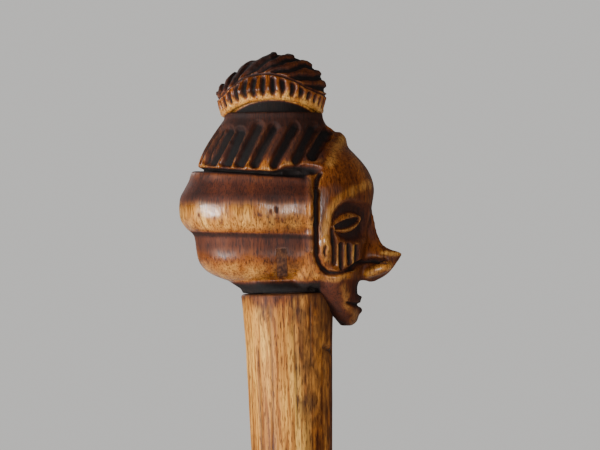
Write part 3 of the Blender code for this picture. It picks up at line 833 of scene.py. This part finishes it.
def carve_knot(obj):
    """The fluted band and the ribs that fan over the dome from its back."""
    mesh = obj.data
    co, normals = points_of(mesh), normals_of(mesh)
    x, f, h = measures(co)
    hand = waver(co, size=6, seed=4)
    shake = 0.28 * waver(co, size=2.2, seed=5)
    sideways, forward = x / KNOT_HALF_WIDTH, (f - KNOT_FORWARD) / KNOT_HALF_DEPTH
    turn = np.arctan2(np.abs(sideways), forward)
    rim = KNOT_RIM_LEVEL + KNOT_RIM_ARCH * np.abs(np.sin(turn)) ** KNOT_RIM_CURVE
    line = smooth_curve(KNOT_BAND_LINE)
    top = np.interp(f, line[:, 0], line[:, 1])

    apart = math.tau / KNOT_FLUTES
    across = np.abs((turn - KNOT_FLUTE_TURN + apart / 2) % apart - apart / 2) * KNOT_FLUTE_RADIUS
    middle = (rim + top) / 2 + KNOT_FLUTE_LIFT
    half = np.maximum((top - rim) / 2 - KNOT_FLUTE_MARGIN, KNOT_FLUTE_SHORTEST)
    along = np.maximum(np.abs(h - middle) - half + KNOT_FLUTE_END, 0)
    outside = np.hypot(sideways, forward) > 0.7
    flutes = gouge(np.hypot(across, along) + shake, KNOT_FLUTE_WIDTH) * outside
    border = gouge(np.abs(h - top) + shake, KNOT_BORDER_WIDTH) * (h > rim)

    reach_f, reach_h = f - KNOT_RIBS_FROM[0], h - KNOT_RIBS_FROM[1]
    angle = np.arctan2(reach_h, reach_f) + KNOT_RIB_BEND * np.hypot(reach_f, reach_h)
    phase = np.abs(((angle + 0.03 * hand) / KNOT_RIBS_APART) % 1 - 0.5)
    ribs = (1 - step(*KNOT_RIB_EDGES, phase + 0.3 * shake)) * step(0, 1.2, h - top)

    # Painted shade on the neck under the rim.
    under_rim_shade = step(0.3, -0.5, h - rim)
    dusk = (0.72 + 0.25 * hand - 0.34 * step(-4, 9, f)) * step(0, 2, h - top)
    soot_and_shade = strongest(flutes, 0.8 * border, ribs, under_rim_shade, dusk)
    cut = strongest(KNOT_FLUTE_DEPTH * flutes, KNOT_BORDER_DEPTH * border, KNOT_RIB_DEPTH * ribs)
    cut = cut + 0.2 * hand + 0.05 * waver(co, size=1.4, seed=6)
    # The rim brightened as a painted highlight.
    rub_and_highlight = band(h - rim + 0.4 * hand, -0.2, 0.3, 1.7, 4.0)
    carve(mesh, co, normals, cut)
    return soot_and_shade, rub_and_highlight


def finish_carving(obj, soot_and_shade, rub_and_highlight):
    """Stores what the finish reads: blackened cuts, dark patina and painted shade, and rubbed edges and
    painted highlights.
    """
    mesh = obj.data
    ridges = step(*RIDGE_HEIGHTS, bulge_of(mesh, RIDGE_REACH))
    wide = neighbours_mean(mesh, bulge_of(mesh, HOLLOW_REACH), HOLLOW_SPREAD)
    # Wide hollows darken: dark patina and painted shade.
    soot_and_shade = np.maximum(soot_and_shade, HOLLOW_PATINA_AND_SHADE * step(*HOLLOW_DEPTHS, -wide))
    put_layer(mesh, "soot_and_shade", neighbours_mean(mesh, soot_and_shade, DARKENING_SPREAD))
    put_layer(mesh, "rub_and_highlight", np.maximum(RIDGE_RUB * ridges, rub_and_highlight))
    mesh.shade_smooth()


def turned(name, profile, columns):
    """A closed solid turned about the shaft's axis from (radius, height) points."""
    bm = spun([(radius, 0, height) for radius, height in profile], columns)
    bmesh.ops.remove_doubles(bm, verts=bm.verts, dist=0.001 * MM)
    bmesh.ops.recalc_face_normals(bm, faces=bm.faces)
    return placed(name, bm)


def peg_bar():
    """A bar a little thicker and longer than the peg, to cut its mortise."""
    peg_low, peg_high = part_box("cross_peg")
    size = peg_high - peg_low + Vector((2 * PEG_OVERRUN, 2 * PEG_FIT, 2 * PEG_FIT))
    matrix = Matrix.Translation((peg_low + peg_high) / 2) @ Matrix.Diagonal((*size, 1))
    bm = bmesh.new()
    bmesh.ops.create_cube(bm, size=1, matrix=matrix)
    return placed("mortise", bm)


def tenon_room():
    """A round bar a little bigger than the tenon, to bore its blind socket."""
    bore, top = TENON_RADIUS + SEAT_GAP, SHOULDER + TENON_LENGTH + SEAT_GAP
    low = SHOULDER - SOCKET_OVERRUN
    return turned("socket", [(0, low), (bore, low), (bore, top), (0, top)], SOCKET_COLUMNS)


def cut_away(obj, *cutters):
    """Cuts closed forms out of a piece, and throws them away."""
    for cutter in cutters:
        modifier = obj.modifiers.new(cutter.name, "BOOLEAN")
        modifier.operation = "DIFFERENCE"
        modifier.solver = "MANIFOLD"
        modifier.object = cutter
    obj.data = settled(obj)
    obj.modifiers.clear()
    obj.data.set_sharp_from_angle(angle=SHARP_ANGLE)
    for cutter in cutters:
        bpy.data.objects.remove(cutter)


def shaft_radius(drop):
    """The shaft swells from its waist to the shoulder and to the foot."""
    if drop < WAIST_DROP:
        return WAIST_RADIUS + (SHOULDER_RADIUS - WAIST_RADIUS) * (1 - drop / WAIST_DROP) ** 2
    below = (drop - WAIST_DROP) / (SHOULDER - WAIST_DROP)
    return WAIST_RADIUS + (FOOT_RADIUS - WAIST_RADIUS) * below**2


def shaft_profile():
    """(radius, height) points of the stick and its tenon, from the foot up."""
    drops = np.arange(SHOULDER - FOOT_CHAMFER, SHOULDER_ROUND, -SHAFT_RING)
    corner = [
        (SHOULDER_RADIUS - SHOULDER_ROUND * (1 - math.cos(a)), SHOULDER - SHOULDER_ROUND * (1 - math.sin(a)))
        for a in np.linspace(0, math.pi / 2, SHOULDER_ROUND_POINTS)
    ]
    tenon_top = SHOULDER + TENON_LENGTH
    return [
        (0, 0),
        (FOOT_RADIUS - FOOT_CHAMFER, 0),
        *((shaft_radius(drop), SHOULDER - drop) for drop in drops),
        *corner,
        (TENON_RADIUS, SHOULDER),
        (TENON_RADIUS, tenon_top - TENON_CHAMFER),
        (TENON_RADIUS - TENON_CHAMFER, tenon_top),
        (0, tenon_top),
    ]


def carve_shaft(mesh):
    """Leaves the stick a little out of true, nicked and checked along the grain, and stores its stains and
    the painted shade under the head and the jaw.
    """
    co, normals = points_of(mesh), normals_of(mesh)
    x, f, h = measures(co)
    tenon = TENON_RADIUS / MM
    skin = step(tenon + 1, tenon + 3, np.hypot(x, f)) * step(0.3, 0.9, np.hypot(*normals[:, :2].T))
    right_side = x < 0
    fibres = drawn_out(co, 0.12)
    uneven = (
        0.25 * waver(drawn_out(co, 0.35), size=11, seed=7)
        + 0.16 * waver(fibres, size=2.2, seed=8)
        + 0.07 * waver(fibres, size=0.9, seed=9)
    )
    nick = gouge(line_distance(f, h, NICK_LINE), NICK_WIDTH) * right_side
    checks = np.zeros_like(f)
    for points in CHECK_LINES:
        check = gouge(line_distance(f, h, points) + 0.1 * uneven, CHECK_WIDTH)
        checks = np.maximum(checks, check * right_side)
    carve(mesh, co, normals, (uneven + NICK_DEPTH * nick + CHECK_DEPTH * checks) * skin)

    # Painted shadow of the jaw on the shaft.
    jaw_shadow = 0.6 * gouge(line_distance(f, h, JAW_LINE), JAW_SHADE)
    # Painted shade at the shaft's top, under the head.
    top_edge_shade = 0.7 * step(-1.6, 0.0, h + 0.8 * uneven)
    streaks = waver(drawn_out(co, 0.4), size=1.5, seed=12) + 0.24
    # Stains, and two patches of painted shadow under the jaw.
    spots_and_jaw_shadow = blots(SHAFT_BLOTS_AND_JAW_SHADOW, f, h, streaks) * right_side
    marks_and_shadow = strongest(0.8 * nick, 0.75 * checks, jaw_shadow, 0.6 * spots_and_jaw_shadow) * skin
    put_layer(mesh, "soot_and_shade", np.maximum(marks_and_shadow, top_edge_shade))
    cloud = waver(co, size=9, seed=10)
    top_end = step(-8, -0.5, h + 4 * cloud)
    front_half = 0.92 * step(-1, 6, f + 5 * waver(fibres, size=6, seed=11)) * step(7, -3, x + 3 * cloud)
    put_layer(mesh, "stain", strongest(top_end, front_half, spots_and_jaw_shadow))


def shaft_wood():
    """The whittled stick with its tenon, mortised for the peg."""
    obj = turned("shaft_wood", shaft_profile(), SHAFT_COLUMNS)
    carve_shaft(obj.data)
    obj.data.shade_smooth()
    cut_away(obj, peg_bar())
    return obj


def new_finish(name):
    material = bpy.data.materials.new(name)
    material.use_nodes = True
    tree = material.node_tree
    return material, tree, tree.nodes["Principled BSDF"]


def grain(tree, scale, detail, stretch):
    """Noise drawn out along the grain, which runs up the doll."""
    place = tree.nodes.new("ShaderNodeTexCoord")
    mapping = tree.nodes.new("ShaderNodeMapping")
    mapping.inputs["Scale"].default_value = (1, 1, stretch)
    tree.links.new(place.outputs["Object"], mapping.inputs["Vector"])
    texture = tree.nodes.new("ShaderNodeTexNoise")
    texture.inputs["Scale"].default_value = scale
    texture.inputs["Detail"].default_value = detail
    tree.links.new(mapping.outputs["Vector"], texture.inputs["Vector"])
    return texture.outputs["Fac"]


def grey(level):
    return (level, level, level)


def ramp(tree, source, *stops):
    """Colours by value, from stops of (value, colour)."""
    node = tree.nodes.new("ShaderNodeValToRGB")
    elements = node.color_ramp.elements
    while len(elements) < len(stops):
        elements.new(0.5)
    for element, (place, colour) in zip(elements, stops):
        element.position = place
        element.color = (*colour, 1)
    tree.links.new(source, node.inputs["Fac"])
    return node.outputs["Color"]


def mixed(tree, factor, first, second, blend="MIX"):
    """Two colours mixed. Each input is a constant or a socket; the node's colours are inputs 6 and 7."""
    node = tree.nodes.new("ShaderNodeMix")
    node.data_type = "RGBA"
    node.blend_type = blend
    for socket, value in ((node.inputs[0], factor), (node.inputs[6], first), (node.inputs[7], second)):
        if isinstance(value, (tuple, float)):
            socket.default_value = (*value, 1) if isinstance(value, tuple) else value
        else:
            tree.links.new(value, socket)
    return node.outputs[2]


def layer(tree, name):
    node = tree.nodes.new("ShaderNodeAttribute")
    node.attribute_name = name
    return node.outputs["Fac"]


def roughened(tree, shader, height, strength, distance):
    """Bump from a height pattern."""
    bump = tree.nodes.new("ShaderNodeBump")
    bump.inputs["Strength"].default_value = strength
    bump.inputs["Distance"].default_value = distance
    tree.links.new(height, bump.inputs["Height"])
    tree.links.new(bump.outputs["Normal"], shader.inputs["Normal"])


def carved_finish():
    """Oiled dark wood, black in the cuts and in painted shade, and rubbed to bare amber on the ridges and in
    painted highlights.
    """
    material, tree, shader = new_finish("carved_hardwood")
    base = ramp(
        tree,
        grain(tree, scale=110, detail=5, stretch=0.25),
        (0.32, (0.110, 0.027, 0.005)),
        (0.52, (0.27, 0.076, 0.012)),
        (0.72, (0.42, 0.145, 0.026)),
    )
    streaks = grain(tree, scale=260, detail=4, stretch=0.15)
    # Amber for rubbed wear and painted highlights.
    amber_rub_and_highlight = ramp(tree, streaks, (0.3, (0.43, 0.145, 0.020)), (0.7, (0.80, 0.43, 0.105)))
    base = mixed(tree, layer(tree, "rub_and_highlight"), base, amber_rub_and_highlight)
    fibres = grain(tree, scale=1100, detail=4, stretch=0.04)
    threads = ramp(tree, fibres, (0.38, (0.50, 0.38, 0.28)), (0.52, grey(1)))
    base = mixed(tree, 0.75, base, threads, "MULTIPLY")
    pores = grain(tree, scale=2300, detail=3, stretch=0.12)
    flecks = ramp(tree, pores, (0.37, (0.20, 0.13, 0.09)), (0.48, grey(1)))
    base = mixed(tree, 0.8, base, flecks, "MULTIPLY")
    soot_and_shade = layer(tree, "soot_and_shade")
    # The darkening layer blackens the cuts and paints shade.
    dusk = ramp(tree, soot_and_shade, (0.0, grey(1)), (0.5, (0.27, 0.16, 0.09)), (1.0, (0.018, 0.013, 0.010)))
    base = mixed(tree, 1.0, base, dusk, "MULTIPLY")
    tree.links.new(base, shader.inputs["Base Color"])
    polish = grain(tree, scale=420, detail=4, stretch=0.5)
    gloss = ramp(tree, polish, (0.3, grey(0.11)), (0.7, grey(0.28)))
    dull = ramp(tree, soot_and_shade, (0.0, grey(0)), (0.22, grey(0.12)), (0.46, grey(0.75)), (1.0, grey(1)))
    tree.links.new(mixed(tree, dull, gloss, grey(0.85)), shader.inputs["Roughness"])
    shader.inputs["Specular IOR Level"].default_value = 0.32
    roughened(tree, shader, pores, strength=0.3, distance=0.0003)
    return material


def dry_finish():
    """Pale dry wood with coarse upright grain, stained towards the head, and darkened in its cracks and by
    painted shadow under the head and the jaw.
    """
    material, tree, shader = new_finish("dry_hardwood")
    broad = grain(tree, scale=130, detail=7, stretch=0.12)
    base = ramp(
        tree,
        broad,
        (0.34, (0.28, 0.092, 0.012)),
        (0.5, (0.60, 0.262, 0.040)),
        (0.66, (0.82, 0.455, 0.092)),
    )
    fibres = grain(tree, scale=1000, detail=5, stretch=0.05)
    streaks = ramp(tree, fibres, (0.38, (0.42, 0.27, 0.17)), (0.54, grey(1)))
    base = mixed(tree, 0.85, base, streaks, "MULTIPLY")
    pores = grain(tree, scale=2300, detail=3, stretch=0.14)
    flecks = ramp(tree, pores, (0.37, (0.25, 0.16, 0.11)), (0.47, grey(1)))
    base = mixed(tree, 0.8, base, flecks, "MULTIPLY")
    patches = grain(tree, scale=420, detail=6, stretch=0.4)
    mottle = ramp(tree, patches, (0.38, (0.62, 0.44, 0.42)), (0.56, (0.22, 0.125, 0.14)))
    base = mixed(tree, layer(tree, "stain"), base, mixed(tree, 1.0, base, mottle, "MULTIPLY"))
    # Darkened in nicks and checks, and by painted shadow under the head and the jaw.
    base = mixed(tree, layer(tree, "soot_and_shade"), base, (0.05, 0.022, 0.012))
    tree.links.new(base, shader.inputs["Base Color"])
    gloss = ramp(tree, broad, (0.3, grey(0.48)), (0.7, grey(0.66)))
    tree.links.new(gloss, shader.inputs["Roughness"])
    shader.inputs["Specular IOR Level"].default_value = 0.2
    furrows = grain(tree, scale=1300, detail=4, stretch=0.07)
    roughened(tree, shader, furrows, strength=0.5, distance=0.0004)
    return material


def peg_finish():
    """Dark end grain, blotched where the peg was driven."""
    material, tree, shader = new_finish("peg_wood")
    blotch = grain(tree, scale=900, detail=4, stretch=0.6)
    base = ramp(
        tree,
        blotch,
        (0.38, (0.036, 0.016, 0.011)),
        (0.54, (0.078, 0.030, 0.015)),
        (0.72, (0.13, 0.050, 0.020)),
    )
    tree.links.new(base, shader.inputs["Base Color"])
    shader.inputs["Roughness"].default_value = 0.85
    shader.inputs["Specular IOR Level"].default_value = 0.15
    roughened(tree, shader, blotch, strength=0.6, distance=0.0006)
    return material


def add_stage():
    """A pale floor, and a pale world that lights the doll less than it shows."""
    bm = bmesh.new()
    bmesh.ops.create_circle(bm, cap_ends=True, segments=96, radius=FLOOR_RADIUS)
    floor = placed("floor", bm)
    material, _, shader = new_finish("pale_floor")
    shader.inputs["Base Color"].default_value = (0.80, 0.79, 0.77, 1)
    shader.inputs["Roughness"].default_value = 0.9
    floor.data.materials.append(material)
    world = bpy.data.worlds.new("studio")
    bpy.context.scene.world = world
    world.use_nodes = True
    nodes, links = world.node_tree.nodes, world.node_tree.links
    nodes["Background"].inputs["Color"].default_value = (0.70, 0.69, 0.67, 1)
    seen = nodes.new("ShaderNodeLightPath")
    strength = nodes.new("ShaderNodeMapRange")
    strength.inputs["To Min"].default_value = WORLD_LIGHT
    strength.inputs["To Max"].default_value = WORLD_SEEN
    links.new(seen.outputs["Is Camera Ray"], strength.inputs["Value"])
    links.new(strength.outputs["Result"], nodes["Background"].inputs["Strength"])


def add_lamp(name, place, power, size):
    lamp = bpy.data.lights.new(name, "AREA")
    lamp.energy = power
    lamp.size = size
    obj = bpy.data.objects.new(name, lamp)
    obj.location = place
    aim = LAMP_AIM - Vector(place)
    obj.rotation_euler = aim.to_track_quat("-Z", "Y").to_euler()
    bpy.context.collection.objects.link(obj)


def add_camera():
    """Level with the head, square to its right flank, rolled a little as the photograph is."""
    camera = bpy.data.cameras.new("camera")
    camera.lens = camera.sensor_width * CAMERA_DISTANCE / CAMERA_WIDTH
    obj = bpy.data.objects.new("camera", camera)
    obj.location = carved(*CAMERA_AIM) + Vector((-CAMERA_DISTANCE, 0, 0))
    level = Vector((1, 0, 0)).to_track_quat("-Z", "Y")
    roll = Matrix.Rotation(-CAMERA_ROLL, 3, "Z").to_quaternion()
    obj.rotation_euler = (level @ roll).to_euler()
    bpy.context.collection.objects.link(obj)
    bpy.context.scene.camera = obj


def dress(piece, node, finish):
    """Gives a piece its finish, hangs it on the root body, and hides the CAD node it stands for."""
    piece.data.materials.clear()
    piece.data.materials.append(finish)
    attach(piece, "root")
    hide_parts(node)


add_stage()
for lamp in LAMPS:
    add_lamp(*lamp)
add_camera()

oiled = carved_finish()
head_forms = (add_hair_rolls, add_crown_tier, add_face, add_jaw, add_nose, add_mouth)
head = fused("head_carving", head_forms, HEAD_VOXEL, HEAD_EASING)
finish_carving(head, *carve_head(head))
cut_away(head, tenon_room(), peg_bar())
dress(head, "head", oiled)
knot = fused("topknot_carving", (add_topknot,), KNOT_VOXEL, KNOT_EASING)
finish_carving(knot, *carve_knot(knot))
dress(knot, "head", oiled)
dress(shaft_wood(), "shaft", dry_finish())
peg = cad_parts["cross_peg"]
peg.data.materials.clear()
peg.data.materials.append(peg_finish())
